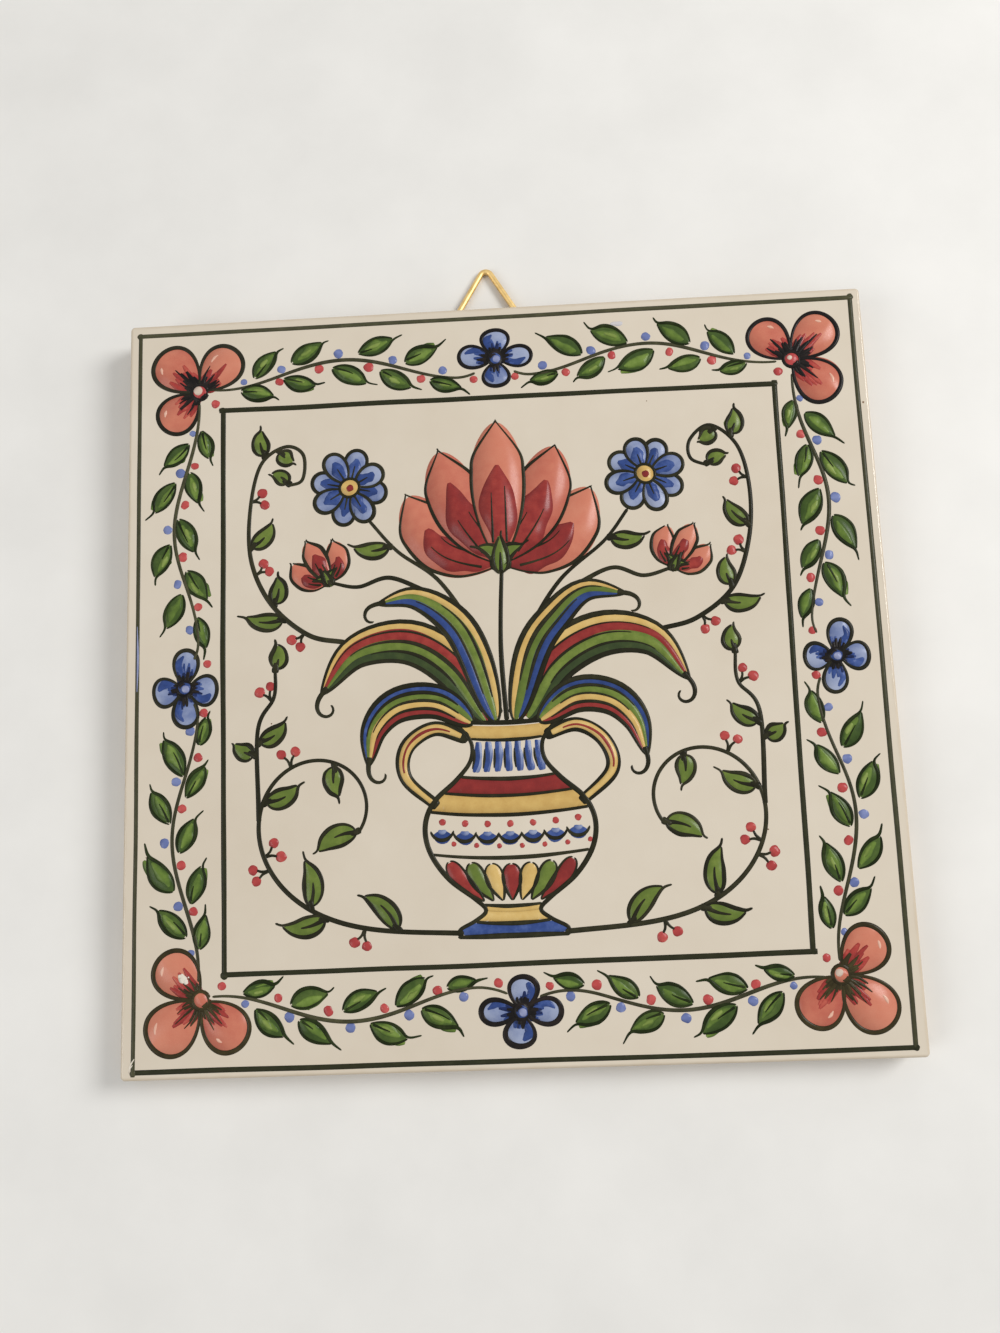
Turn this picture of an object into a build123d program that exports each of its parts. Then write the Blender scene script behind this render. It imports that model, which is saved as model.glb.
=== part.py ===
from build123d import *
import os
from math import asin, atan, atan2, cos, degrees, radians, sin, sqrt, tan

# A square hand-painted wall tile with a wire ring hinged in a metal strap on its back.
# Millimetres. The origin is the middle of the tile's back, on the plane of its rim and bars.
# +Z points out of the glazed face and +Y towards the edge that hangs uppermost.

# Tile, pressed and fired in one piece
tile_side = 150.0
tile_thickness = 6.0
corner_radius = 0.9
face_edge_radius = 0.6
back_edge_radius = 0.4

# Relief on the tile's back: a rim round a sunk field, with raised bars that key into adhesive
relief_depth = 0.8
rim_width = 4.0
field_corner_radius = 3.0
relief_draft = 12.0
bar_width = 5.6
bar_gap = 4.9
bar_end_gap = 4.0

# Wire ring, a triangle with three equal sides, measured on the wire's centre line
wire_diameter = 1.2
ring_side = 20.0
ring_bend_radius = 1.25
wire_end_gap = 0.3
ring_shift = -1.0
hinge_inset = 3.9

# Strap, one strip of sheet folded round the ring's base and glued down
strap_gauge = 0.4
strap_width = 12.0
strap_short_leaf = 18.0
strap_leaf_overhang = 3.0
strap_throat = 3.4
strap_corner_radius = 2.0
hinge_clearance = 0.1

# Places that follow from the sizes
half_side = tile_side / 2
wire_radius = wire_diameter / 2
eye_inner_radius = wire_radius + hinge_clearance
eye_outer_radius = eye_inner_radius + strap_gauge
hinge_y = half_side - hinge_inset
hinge_z = -eye_outer_radius
strap_long_leaf = strap_short_leaf + strap_leaf_overhang
field_side = tile_side - 2 * rim_width
bar_pitch = bar_width + bar_gap
bar_count = int((field_side - 2 * bar_end_gap + bar_gap) // bar_pitch)


def floor_slope():
    """Angle in degrees between the tile and the floor it lies on, touching at the low rim and the strap's eye."""
    run = hinge_y + half_side - back_edge_radius
    centre_angle = atan(eye_outer_radius / run)
    tangent_angle = asin(eye_outer_radius / sqrt(run**2 + eye_outer_radius**2))
    return degrees(centre_angle + tangent_angle)


def ring_apex_reach():
    """Distance from the hinge axis to the wire's centre line at the top of the ring."""
    corner_half_angle = radians(30)
    sharp_height = ring_side * cos(corner_half_angle)
    return sharp_height - ring_bend_radius * (1 / sin(corner_half_angle) - 1)


def ring_lay():
    """Angle in degrees by which the ring drops from the tile's plane to lie on the same floor."""
    drop = asin((eye_outer_radius - wire_radius) / ring_apex_reach())
    return floor_slope() + degrees(drop)


def make_tile():
    """A square slab with rolled edges, a sunk field in its back and a row of bars standing in the field."""
    slab = extrude(RectangleRounded(tile_side, tile_side, corner_radius), tile_thickness)
    slab = fillet(slab.faces().sort_by(Axis.Z)[-1].edges(), face_edge_radius)
    slab = fillet(slab.faces().sort_by(Axis.Z)[0].edges(), back_edge_radius)

    floor_plane = Plane.XY.offset(relief_depth)
    field = RectangleRounded(field_side, field_side, field_corner_radius)
    slab -= extrude(field, relief_depth, taper=relief_draft)

    bar_length = field_side - 2 * bar_end_gap
    bar_foot = SlotOverall(bar_length, bar_width)
    bar = extrude(floor_plane * bar_foot, -relief_depth, taper=relief_draft)
    for place in GridLocations(0, bar_pitch, 1, bar_count):
        slab += place * bar
    return slab


def make_ring():
    """Round wire bent to a triangle whose two ends meet in the middle of its base, inside the strap's eye."""
    height = ring_side * cos(radians(30))
    points = [
        (wire_end_gap / 2, 0),
        (ring_side / 2, 0),
        (0, height),
        (-ring_side / 2, 0),
        (-wire_end_gap / 2, 0),
    ]
    route = FilletPolyline(*points, radius=ring_bend_radius)
    section = Plane(origin=route @ 0, z_dir=route % 0) * Circle(wire_radius)
    ring = sweep(section, path=route)
    return Location((ring_shift, hinge_y, hinge_z), (-ring_lay(), 0, 0)) * ring


def make_strap():
    """A strip folded round the wire: its profile is drawn away from the hinge axis and extruded along it."""
    centre = Vector(0, -eye_outer_radius)
    throat = Vector(strap_throat, -2 * strap_gauge)
    reach = throat - centre
    rise = atan2(reach.Y, reach.X) + asin(eye_outer_radius / reach.length)
    outward = Vector(sin(rise), -cos(rise))
    outer_tangent = centre + outward * eye_outer_radius
    inner_tangent = centre + outward * eye_inner_radius
    pinch_run = (-strap_gauge - inner_tangent.Y) / tan(rise)
    pinch = Vector(inner_tangent.X + pinch_run, -strap_gauge)
    outer_far = centre - Vector(eye_outer_radius, 0)
    inner_far = centre - Vector(eye_inner_radius, 0)

    outer = make_face(
        Polyline(
            (0, 0),
            (strap_long_leaf, 0),
            (strap_long_leaf, -strap_gauge),
            (strap_short_leaf, -strap_gauge),
            (strap_short_leaf, -2 * strap_gauge),
            throat,
            outer_tangent,
        )
        + ThreePointArc(outer_tangent, outer_far, (0, 0))
    )
    inner = make_face(
        Polyline((0, -strap_gauge), pinch, inner_tangent)
        + ThreePointArc(inner_tangent, inner_far, (0, -strap_gauge))
    )
    side = Plane(origin=(ring_shift, hinge_y, 0), x_dir=(0, -1, 0), z_dir=(-1, 0, 0))
    strap = extrude(side * (outer - inner), strap_width / 2, both=True)
    leaf_ends = [
        edge
        for edge in strap.edges().filter_by(Axis.Z)
        if edge.center().Y < hinge_y - strap_throat and edge.length < 1.5 * strap_gauge
    ]
    return fillet(leaf_ends, strap_corner_radius)


os.makedirs("parts", exist_ok=True)
export_step(make_tile(), "parts/tile.step")
export_step(make_ring(), "parts/hanger_ring.step")
export_step(make_strap(), "parts/hanger_strap.step")
print("floor slope", round(floor_slope(), 3), "ring lay", round(ring_lay(), 3))
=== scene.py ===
"""Finishes for a square hand-painted wall tile: its glaze and painting, its wire ring and the strap.

The painting is drawn in millimetres on the tile's face, x to the right and y towards the ring. Every
brush mark is a thin closed bead of colour with its underside sunk in the glaze.
"""
from math import atan2, cos, pi, radians, sin

import bpy
import numpy as np
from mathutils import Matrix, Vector


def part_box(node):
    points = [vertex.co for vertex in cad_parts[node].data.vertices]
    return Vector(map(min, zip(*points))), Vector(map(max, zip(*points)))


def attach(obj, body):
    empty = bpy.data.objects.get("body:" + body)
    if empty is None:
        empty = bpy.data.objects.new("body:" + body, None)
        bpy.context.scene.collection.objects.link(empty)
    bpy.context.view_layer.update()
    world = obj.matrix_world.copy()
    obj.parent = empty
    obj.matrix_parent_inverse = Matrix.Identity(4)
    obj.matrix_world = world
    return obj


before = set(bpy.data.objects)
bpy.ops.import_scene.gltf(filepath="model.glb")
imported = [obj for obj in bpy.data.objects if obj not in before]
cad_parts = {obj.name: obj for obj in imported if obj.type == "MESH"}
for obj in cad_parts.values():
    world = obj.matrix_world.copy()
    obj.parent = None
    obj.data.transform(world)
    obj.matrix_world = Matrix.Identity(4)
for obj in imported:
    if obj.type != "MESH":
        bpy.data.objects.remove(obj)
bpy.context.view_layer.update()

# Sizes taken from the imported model, in metres
MM = 0.001
tile_low, tile_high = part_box("tile")
strap_low, strap_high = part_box("hanger_strap")
face_height = tile_high.z

# Painted layout, in millimetres. The drawing is set out on a square a little larger than the tile's flat
# face. It is brought in to the face by drawn_share, with drawn_middle laid on the middle of the tile.
drawn_share = 0.9953
drawn_middle = (0.135, 0.0)
outer_corners = [(-72.75, -73.85), (72.95, -73.5), (73.45, 73.35), (-72.9, 73.0)]
inner_corners = [(-55.35, -56.5), (55.7, -55.8), (56.85, 55.65), (-55.7, 56.0)]
outer_widths = (0.95, 0.95, 0.9, 0.8)
inner_widths = (1.0, 1.05, 1.08, 1.02)

# The vine: its least distance from the tile's middle, its rise, and where it rises and starts
vine_low = 60.4
vine_rise = 5.2
vine_hump_from = 6.0
vine_hump_length = 50.0
vine_start = 57.8

# Heights of the coats of colour over the face, in millimetres, and the steps between marks of one coat
wash_top = 0.006
tone_top = 0.010
shade_top = 0.014
front_line_top = 0.017
line_top = 0.022
layer_rise = 0.018
sunk = -0.012
step_between_marks = 0.0003
marks_in_turn = 8

# Steps along a mark, and how far a wash runs under its outline, in millimetres
mark_step = 0.45
fine_step = 0.35
under_line = 0.24

# Every unsteadiness is drawn from here, in the order in which the marks are made
chance = np.random.default_rng(20)


# Curves

def through(points, step=mark_step):
    """A smooth curve through a few points: on each stretch a cubic whose slope at a point is half
    the chord between the points on either side of it, then cut to even steps of length."""
    p = np.asarray(points, float)
    p = np.vstack([2 * p[0] - p[1], p, 2 * p[-1] - p[-2]])
    a, b, c, d = p[:-3, None], p[1:-2, None], p[2:-1, None], p[3:, None]
    t = np.linspace(0, 1, 16, endpoint=False)[None, :, None]
    square, cube = 2 * a - 5 * b + 4 * c - d, 3 * b - a - 3 * c + d
    bends = 0.5 * (2 * b + (c - a) * t + square * t**2 + cube * t**3)
    return even(np.vstack([bends.reshape(-1, 2), p[-2]]), step)


def even(path, step=mark_step):
    """The same line cut into equal steps of its own running length."""
    run = np.r_[0, np.cumsum(np.hypot(*np.diff(path, axis=0).T))]
    at = np.linspace(0, run[-1], max(int(run[-1] / step), 6))
    return np.c_[np.interp(at, run, path[:, 0]), np.interp(at, run, path[:, 1])]


def swirl(start, heading, turn_first, turn_last, length):
    """A scroll whose turning grows evenly along it: the heading is the running sum of a turn in
    degrees per millimetre that goes from turn_first to turn_last, and the point is the running sum
    of the heading."""
    count = max(int(length / mark_step), 8)
    t = np.linspace(0, 1, count)
    turned = length * (turn_first * t + (turn_last - turn_first) * t**2 / 2)
    angle = np.radians(heading + turned)
    pace = length / (count - 1)
    middle = (angle[1:] + angle[:-1]) / 2
    x = np.r_[0, np.cumsum(np.cos(middle))] * pace + start[0]
    y = np.r_[0, np.cumsum(np.sin(middle))] * pace + start[1]
    return np.c_[x, y]


def arc(centre, radius, first, last):
    """Part of a circle from one angle to another, in degrees."""
    count = max(int(abs(radians(last - first)) * radius / mark_step), 12)
    angle = np.radians(np.linspace(first, last, count))
    return np.c_[centre[0] + radius * np.cos(angle), centre[1] + radius * np.sin(angle)]


def left_of(path):
    """Unit vectors to the left of a path, each a quarter turn from the slope there."""
    slope = np.gradient(path, axis=0)
    slope /= np.maximum(np.hypot(*slope.T), 1e-9)[:, None]
    return np.c_[-slope[:, 1], slope[:, 0]]


def toward(angle):
    """The unit vector at an angle in degrees."""
    return np.array([cos(radians(angle)), sin(radians(angle))])


def quarter_turn(way):
    """A vector turned a quarter to the left."""
    return np.array([-way[1], way[0]])


def part(path, first, last=1.0):
    """The stretch of a path between two shares of its points."""
    return path[int(len(path) * first):int(len(path) * last)]


def waver(t, amount, waves=3):
    """A slow unsteadiness along a mark: the sum of a few sine waves of rising count and falling size."""
    total = np.zeros_like(t)
    for k in range(1, waves + 1):
        total += np.sin(2 * pi * (k * t * chance.uniform(0.6, 1.2) + chance.uniform())) / k
    return amount * total


# Widths along a mark, as functions of the share of its length

def belly(width, fullest=0.45, sharp=0.8):
    """Half a leaf's width: a sine hump with its crest at the share fullest, raised to a power that
    rounds it."""
    power = np.log(0.5) / np.log(fullest)
    return lambda t: width / 2 * np.sin(pi * np.clip(t, 0, 1) ** power) ** sharp


def leafy(width, foot, tip):
    """Half a pointed leaf's width: a power of the share from the foot times a power of the share
    left to the tip, over its own highest value."""
    crest = foot / (foot + tip)
    most = crest ** foot * (1 - crest) ** tip
    return lambda t: width / 2 * np.clip(t, 0, 1) ** foot * np.clip(1 - t, 0, 1) ** tip / most


def swell(thin, thick, fullest=0.5):
    """Half the width of a pressed brush mark: a sine hump from thin at both ends to thick at the share
    fullest."""
    power = np.log(0.5) / np.log(fullest)
    return lambda t: thin / 2 + (thick - thin) / 2 * np.sin(pi * np.clip(t, 0, 1) ** power) ** 1.3


def taper(thick, thin, power=0.8):
    """Half the width of a mark that is thick where the brush lands and thins to where it lifts, with a
    power of the share that is left."""
    return lambda t: thin / 2 + (thick - thin) / 2 * (1 - t) ** power


# Brush marks

coats = {}

# A mark's section: heights and places of its five points, as shares, and how far its walls run in
section_height = np.array([0.0, 0.96, 1.0, 0.96, 0.0])
section_share = np.array([-1.0, -0.98, 0.0, 0.98, 1.0])
wall_run = 0.006


def mark(coat, path, left, right=None, top=line_top, blunt=True, closed=False, rough=0.06):
    """A bead of colour: a five-point section carried along the path, with steep walls, a hardly
    crowned top, flat underneath and drawn together to a point at each end. Left and right are each a
    function that gives the half width at a share of the length, or one whole width. A blunt end is
    rounded as half a circle. Marks of a coat lie a hair higher one after the other, over and over, so
    that no two neighbours are level."""
    path = np.asarray(path, float)
    top = top + step_between_marks * (len(coats.get(coat, ())) % marks_in_turn)
    count = len(path)
    t = np.linspace(0, 1, count)
    right = left if right is None else right
    sides = []
    for side in (left, right):
        width = side(t) if callable(side) else np.full(count, float(side) / 2)
        sides.append(np.maximum(width * (1 + waver(t, rough)), 0.0))
    run = np.r_[0, np.cumsum(np.hypot(*np.diff(path, axis=0).T))]
    if blunt and not closed:
        reach = np.maximum((sides[0] + sides[1]) / 2, 1e-6)
        near = np.minimum(run, run[-1] - run)
        rounded = np.sqrt(np.clip(1 - (1 - np.clip(near / reach, 0, 1)) ** 2, 0, 1))
        sides = [side * rounded for side in sides]
    normal = left_of(np.vstack([path[-2], path, path[1]]))[1:-1] if closed else left_of(path)
    inner = [side - np.minimum(wall_run, side * 0.1) for side in sides]
    offset = np.stack([-sides[1], -inner[1], np.zeros(count), inner[0], sides[0]], 1)
    flat = path[:, None, :] + normal[:, None, :] * offset[:, :, None]
    shape = offset.shape
    height = sunk + (top - sunk) * np.broadcast_to(section_height, shape)
    load = chance.uniform()
    brush = np.stack([np.broadcast_to(t[:, None], shape), np.broadcast_to(section_share, shape),
                      np.full(shape, load)], axis=2)
    rows = np.concatenate([flat, height[:, :, None], brush], axis=2)
    rows = rows[:-1] if closed else rows[1:-1]
    coats.setdefault(coat, []).append((rows, path[0], path[-1], closed, load))


def spot(coat, centre, radius, top=tone_top, squash=1.0):
    """A dab of colour: a bead carried along a short diameter, with the half width of a circle."""
    angle = chance.uniform(0, pi)
    half = np.array([cos(angle), sin(angle)]) * radius
    t = 0.5 - 0.5 * np.cos(pi * np.linspace(0, 1, 10))
    path = np.asarray(centre, float) + (2 * t[:, None] - 1) * half
    round_width = radius * squash * np.sqrt(np.clip(1 - (2 * t - 1) ** 2, 0, 1))
    mark(coat, path, lambda _: round_width, top=top, blunt=False, rough=0.09)


def ring_mark(coat, centre, radius, width, top=line_top):
    """A circle drawn in one go, whose radius sways in a sine wave twice round."""
    circle = arc(centre, radius, 0, 360)
    t = np.linspace(0, 1, len(circle))
    uneven = 1 + 0.04 * np.sin(2 * pi * (2 * t + chance.uniform()))
    circle = np.asarray(centre) + (circle - centre) * uneven[:, None]
    mark(coat, circle, width, top=top, closed=True, rough=0.0)


def coat_mesh(name):
    """One mesh for all the marks of a coat. Each row of a mark is joined to the next, the last point
    of a row to its first under the bead, and the end rows to one point each. A closed mark joins its
    last row to its first."""
    places, brushes, quads, tris, base = [], [], [], [], 0
    for rows, first, last, closed, load in coats[name]:
        n, m = rows.shape[:2]
        flat = rows.reshape(-1, 6)
        index = base + np.arange(n * m).reshape(n, m)
        here, after = (index, np.roll(index, -1, 0)) if closed else (index[:-1], index[1:])
        beside, beyond = np.roll(here, -1, 1), np.roll(after, -1, 1)
        quads.append(np.stack([here, after, beyond, beside], 2).reshape(-1, 4))
        places.append(flat[:, :3])
        brushes.append(flat[:, 3:])
        base += n * m
        if not closed:
            poles = np.array([[*first, sunk], [*last, sunk]])
            places.append(poles)
            brushes.append(np.array([[0, 0, load], [1, 0, load]]))
            start, end = index[0], index[-1]
            tris.append(np.c_[np.full(m, base), start, np.roll(start, -1)])
            tris.append(np.c_[np.full(m, base + 1), np.roll(end, -1), end])
            base += 2
    place = np.vstack(places)
    place[:, :2] = (place[:, :2] - drawn_middle) * drawn_share * MM
    place[:, 2] = face_height + place[:, 2] * MM
    quads = np.vstack(quads)
    tris = np.vstack(tris) if tris else np.zeros((0, 3), int)
    mesh = bpy.data.meshes.new(name)
    mesh.vertices.add(len(place))
    mesh.vertices.foreach_set("co", place.astype(np.float32).ravel())
    loops = np.r_[quads.ravel(), tris.ravel()]
    mesh.loops.add(len(loops))
    mesh.loops.foreach_set("vertex_index", loops.astype(np.int32))
    starts = np.r_[np.arange(len(quads)) * 4, len(quads) * 4 + np.arange(len(tris)) * 3]
    mesh.polygons.add(len(starts))
    mesh.polygons.foreach_set("loop_start", starts.astype(np.int32))
    mesh.update(calc_edges=True)
    brush = mesh.attributes.new("brush", "FLOAT_VECTOR", "POINT")
    brush.data.foreach_set("vector", np.vstack(brushes).astype(np.float32).ravel())
    return mesh


# Border

def side_place(side, half):
    """A function from a half side's own measures, along the side from its middle and outwards, to x
    and y: a mirroring for the left half and a quarter turn for each next side."""
    turn = {"top": 0, "right": -90, "bottom": 180, "left": 90}[side]
    c, s = cos(radians(turn)), sin(radians(turn))

    def place(points):
        """The points turned to their side."""
        points = np.atleast_2d(np.asarray(points, float))
        x, y = points[:, 0] * half, points[:, 1]
        return np.c_[c * x - s * y, s * x + c * y]

    return place


def vine_height(along, hook, bend_from):
    """The vine's distance from the tile's centre: a squared sine hump between the flowers, and a
    hook at the end that grows with the squared distance from where it bends."""
    along = np.asarray(along)
    hump = np.sin(pi * (along - vine_hump_from) / vine_hump_length) ** 2
    return vine_low + vine_rise * hump + hook * np.clip(bend_from - along, 0, None) ** 2


def leaf_edge(spine, half_width, hand, tail, coat, thin, thick, top=line_top, bend=0.15):
    """One drawn side of a leaf, from its foot along the outline to the tip. With a tail, it is a
    curve through points of the outline that leaves it before the tip, runs on past it and bends
    outwards, and the line is then at its thickest nearer the tip."""
    t = 0.5 - 0.5 * np.cos(pi * np.linspace(0, 1, 40))
    share = np.linspace(0, 1, len(spine))

    def closer(line):
        """The line's points at shares that follow a cosine, closer towards its ends."""
        return np.c_[np.interp(t, share, line[:, 0]), np.interp(t, share, line[:, 1])]

    out = closer(spine) + closer(left_of(spine)) * (hand * half_width(t))[:, None]
    fullest = chance.uniform(0.34, 0.5)
    if tail:
        onwards = spine[-1] - spine[-8]
        onwards /= np.hypot(*onwards)
        outwards = quarter_turn(onwards) * hand
        tip = out[-1] + outwards * 0.2
        out = through([*out[[0, 6, 11, 15, 19, 23, 27]], tip, tip + (onwards + outwards * bend) * tail])
        fullest += 0.12
    mark(coat, even(out, fine_step), swell(thin, thick, fullest), top=top, rough=0.1)


# By what share a border leaf is fuller on one side and slimmer on the other
leaf_lean = 0.16


def border_leaf(base, tip, near):
    """A quick leaf, a little less than half as wide as long: dark green body, a broad lighter patch
    towards one flank, an uneven dark edge and a tail at the tip. It is fuller on the side away from
    the vine, which lies to the left of the leaf when near is 1."""
    base, tip = np.asarray(base, float), np.asarray(tip, float)
    run = tip - base
    length = np.hypot(*run)
    width = length * chance.uniform(0.43, 0.48)
    side = quarter_turn(run) / length
    bow = side * chance.uniform(-0.02, 0.06) * length * near
    spine = through([base, base + run * 0.5 + bow, tip], fine_step)
    drift = chance.normal(0, 0.09, 2)
    foot, sharp = chance.uniform(0.76, 1.0), chance.uniform(0.85, 1.15)
    fuller = {near: 1 - leaf_lean, -near: 1 + leaf_lean}
    edges = {hand: leafy(width * fuller[hand], foot, sharp) for hand in (1, -1)}
    under = {hand: leafy(width * fuller[hand] + under_line, foot, sharp) for hand in (1, -1)}
    mark("leaf_body", spine + drift, under[1], under[-1], top=wash_top, blunt=False, rough=0.04)
    lit = 1 if chance.uniform() < 0.6 else -1
    patch = part(spine, 0.14, 0.9) + drift
    wide, thin = belly(width * 0.84, 0.5), belly(width * 0.36, 0.5)
    flanks = (wide, thin) if lit > 0 else (thin, wide)
    mark("leaf_light", patch, *flanks, top=tone_top, blunt=False, rough=0.2)
    if chance.uniform() < 0.55:
        heart = part(spine, 0.3, 0.72) + drift + side * lit * width * 0.13
        mark("leaf_bright", heart, belly(width * 0.3), top=shade_top, blunt=False, rough=0.2)
    if chance.uniform() < 0.25:
        spill = part(spine, 0.35) - side * near * width * 0.27
        mark("leaf_light", spill, belly(width * 0.62), top=wash_top - 0.002, blunt=False, rough=0.08)
    tailed = 1 if chance.uniform() < 0.6 else -1
    for hand in (1, -1):
        tail = chance.uniform(1.3, 2.5) if hand == tailed else 0.0
        heavy = chance.uniform(0.58, 0.86) if hand == tailed else chance.uniform(0.42, 0.66)
        bend = chance.uniform(-0.1, 0.5)
        leaf_edge(spine, edges[hand], hand, tail, "leaf_edge", 0.3, heavy, bend=bend)
    if chance.uniform() < 0.65:
        rib = part(spine, 0.08, chance.uniform(0.45, 0.8)) + side * chance.normal(0, width * 0.06)
        mark("leaf_edge", rib, taper(0.55, 0.14))


# On half a side: leaves as foot and tip, and dots as place and radius
outer_leaves = [((49.4, 62.1), (44.4, 67.6)), ((41.0, 64.9), (34.4, 69.7)),
                ((27.8, 66.0), (20.8, 69.2)), ((18.0, 63.6), (11.0, 67.0))]
inner_leaves = [((51.8, 60.3), (45.6, 59.0)), ((42.9, 62.6), (35.9, 60.7)), ((33.2, 64.6), (26.2, 60.9)),
                ((22.9, 63.4), (17.0, 59.3)), ((13.1, 61.0), (7.0, 59.4))]
blue_dots = ((51.8, 0.72), (43.6, 0.95), (31.4, 1.0), (20.1, 0.95), (10.2, 0.9))
red_dots = ((44.6, 0.92), (35.6, 0.95), (25.0, 0.98), (14.9, 0.92))

# Where the vine stops near the middle flower, how sharply it hooks there and from where
vine_end = (4.2, 0.06, 8.0)
other_vine_ends = {
    ("top", -1): (3.4, 0.04, 8.0),
    ("bottom", 1): (1.5, 0.02, 8.0),
    ("bottom", -1): (4.2, 0.013, 16.0),
}


def half_side(side, half):
    """The vine from a corner flower to the middle one, its leaves and its dots."""
    place = side_place(side, half)
    nearest, *hook = other_vine_ends.get((side, half), vine_end)
    along = np.linspace(vine_start, nearest, 60)
    vine = np.c_[along, vine_height(along, *hook)]
    vine[:, 1] += waver(np.linspace(0, 1, 60), 0.12)
    mark("vine", even(place(vine)), swell(0.5, 0.78, 0.4), rough=0.1)
    for leaves, outward in ((outer_leaves, 1), (inner_leaves, -1)):
        for base, tip in leaves:
            shift = chance.normal(0, 0.25, 2)
            shape = place(np.array([base, tip]) + (0, 0.3 * outward)) + shift
            shape[1] += chance.normal(0, 0.3, 2)
            border_leaf(*shape, outward * half)
    for coat, dots, outward in (("dots_blue", blue_dots, 1), ("dots_red", red_dots, -1)):
        for u, radius in dots:
            at = u + chance.normal(0, 0.3)
            aside = outward * (radius + 0.4 + chance.normal(0, 0.1))
            middle = place([(at, vine_height(at, *hook) + aside)])[0]
            spot(coat, middle, radius * chance.uniform(0.92, 1.08), squash=chance.uniform(0.88, 1.05))


# The powers with which a round petal and a flame widen from the foot and close at the tip
petal_ends = (0.82, 0.5)
flame_ends = (0.85, 0.62)


def petal(centre, angle, length, width, coat, edge_coat, heavy, start=0.6, lift=0.0):
    """A round-ended petal that widens from a pointed foot, and its drawn edge."""
    way = toward(angle)
    side = quarter_turn(way)
    egg = leafy(width, *petal_ends)
    t = 0.5 - 0.5 * np.cos(pi * np.linspace(0, 1, 36))
    spine = centre + way * (start + (length - start) * t)[:, None]
    shown, wash = egg(t), leafy(width + under_line, *petal_ends)(t)
    drift = chance.normal(0, 0.08, 2)
    mark(coat, spine + drift, lambda _: wash, top=wash_top + lift, blunt=False, rough=0.015)
    rim = np.vstack([spine + side * shown[:, None], (spine - side * shown[:, None])[::-1][1:]])
    rim = even(rim, 0.4)
    rim += left_of(rim) * waver(np.linspace(0, 1, len(rim)), 0.05)[:, None]
    press = swell(heavy * 0.6, heavy * 1.15, chance.uniform(0.4, 0.6))
    mark(edge_coat, rim, press, top=line_top + lift, rough=0.07)
    return way, side


def rays(centre, angle, spread, reach, count, coat, thick, top, start):
    """Tapering strokes that fan out from a flower's centre, the middle ones longest."""
    for k in range(count):
        share = (k + 0.5) / count * 2 - 1
        way = toward(angle + share * spread + chance.normal(0, 2.5))
        far = start + (reach - start) * (1 - 0.3 * abs(share)) * chance.uniform(0.62, 1.08)
        bend = quarter_turn(way) * share * far * chance.uniform(0.02, 0.12)
        middle = centre + way * (start + far) / 2 + bend
        path = through([centre + way * start, middle, centre + way * far], 0.3)
        mark(coat, path, taper(thick * chance.uniform(0.8, 1.2), 0.1, 0.55), top=top, rough=0.1)


def crescent(centre, radius, facing, length, width, coat):
    """A highlight: a short arc, thick in the middle."""
    half = np.degrees(length / radius) / 2
    path = arc(centre, radius, facing - half, facing + half)
    mark(coat, path, swell(0.12, width), top=shade_top, rough=0.12)


def corner_flower(centre, petals, edge_coat, ray_coat, light, bead, shine, heavy):
    """Three coral petals round a bead, each with its direction, length and width. One coat draws the
    petals' edges, the other the dark rays from their feet and the lines round the bead. Highlights
    face the light, the bead has its own colour and size of pale spot, and heavy is the rays' breadth."""
    centre = np.asarray(centre, float)
    for angle, reach, width in petals:
        way, side = petal(centre, angle, reach, width, "coral", edge_coat, 0.82)
        rays(centre, angle, 25, reach * 0.72, 6, "coral_deep", 1.9, tone_top, 1.0)
        rays(centre, angle, 32, reach * 0.5, 5, ray_coat, heavy, line_top, 0.8)
        rays(centre, angle, 24, reach * 0.62, 3, ray_coat, heavy * 0.6, line_top, 1.6)
        heart = centre + way * reach * 0.64
        facing = angle + np.clip((light - angle + 180) % 360 - 180, -75, 75) + chance.normal(0, 10)
        crescent(heart, width * 0.3, facing, chance.uniform(1.4, 2.8), 0.6, "coral_light")
    mark(ray_coat, arc(centre, 1.3, 0, 360), 1.5, top=line_top + 0.002)
    spot(bead, centre, 1.4, top=line_top + 0.006)
    if shine:
        spot("bead_pale", centre + (-0.35, 0.35), shine, top=line_top + 0.010)
    ring_mark(ray_coat, centre, 1.5, 0.36, top=line_top + 0.012)
    mark(ray_coat, arc(centre + (0.3, -0.3), 0.8, -110, 10), swell(0.15, 0.6), top=line_top + 0.014)


def middle_flower(centre, wide, tall, edge_coat, heavy):
    """Four blue petals set square round a bead, deeper blue down one flank and dark strokes from the
    foot."""
    centre = np.asarray(centre, float)
    for angle in (0, 90, 180, 270):
        reach = (wide if angle % 180 == 0 else tall) / 2 + chance.normal(0, 0.15)
        turned = angle + chance.normal(0, 4)
        width = (tall if angle % 180 == 0 else wide) * 0.35 + chance.uniform(0.0, 0.6)
        way, side = petal(centre, turned, reach, width, "lavender", edge_coat, heavy)
        flank = chance.choice([-1, 1])
        start, end = centre + way * reach * 0.25, centre + way * reach * 0.88
        middle = (start + end) / 2 + side * flank * width * 0.3
        spine = through([start, middle, end + side * flank * 0.4], fine_step)
        mark("blue_deep", spine, belly(width * 0.3, 0.5), top=tone_top, blunt=False, rough=0.2)
        rays(centre, turned, 27, reach * 0.74, 4, "blue_deep", 1.3, tone_top, 0.8)
        rays(centre, turned, 30, reach * 0.64, 4, "navy", 1.15, shade_top, 0.8)
        rays(centre, turned, 31, reach * 0.56, 4, "flower_line", 1.15, line_top, 0.7)
    spot("flower_line", centre, 1.7, top=line_top + 0.002)
    spot("blue_deep", centre, 1.15, top=line_top + 0.006)
    spot("haze", centre + (0.2, -0.15), 0.75, top=line_top + 0.010)
    mark("flower_line", arc(centre + (-0.1, 0.1), 0.8, 60, 200), swell(0.15, 0.55), top=line_top + 0.012)


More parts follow.
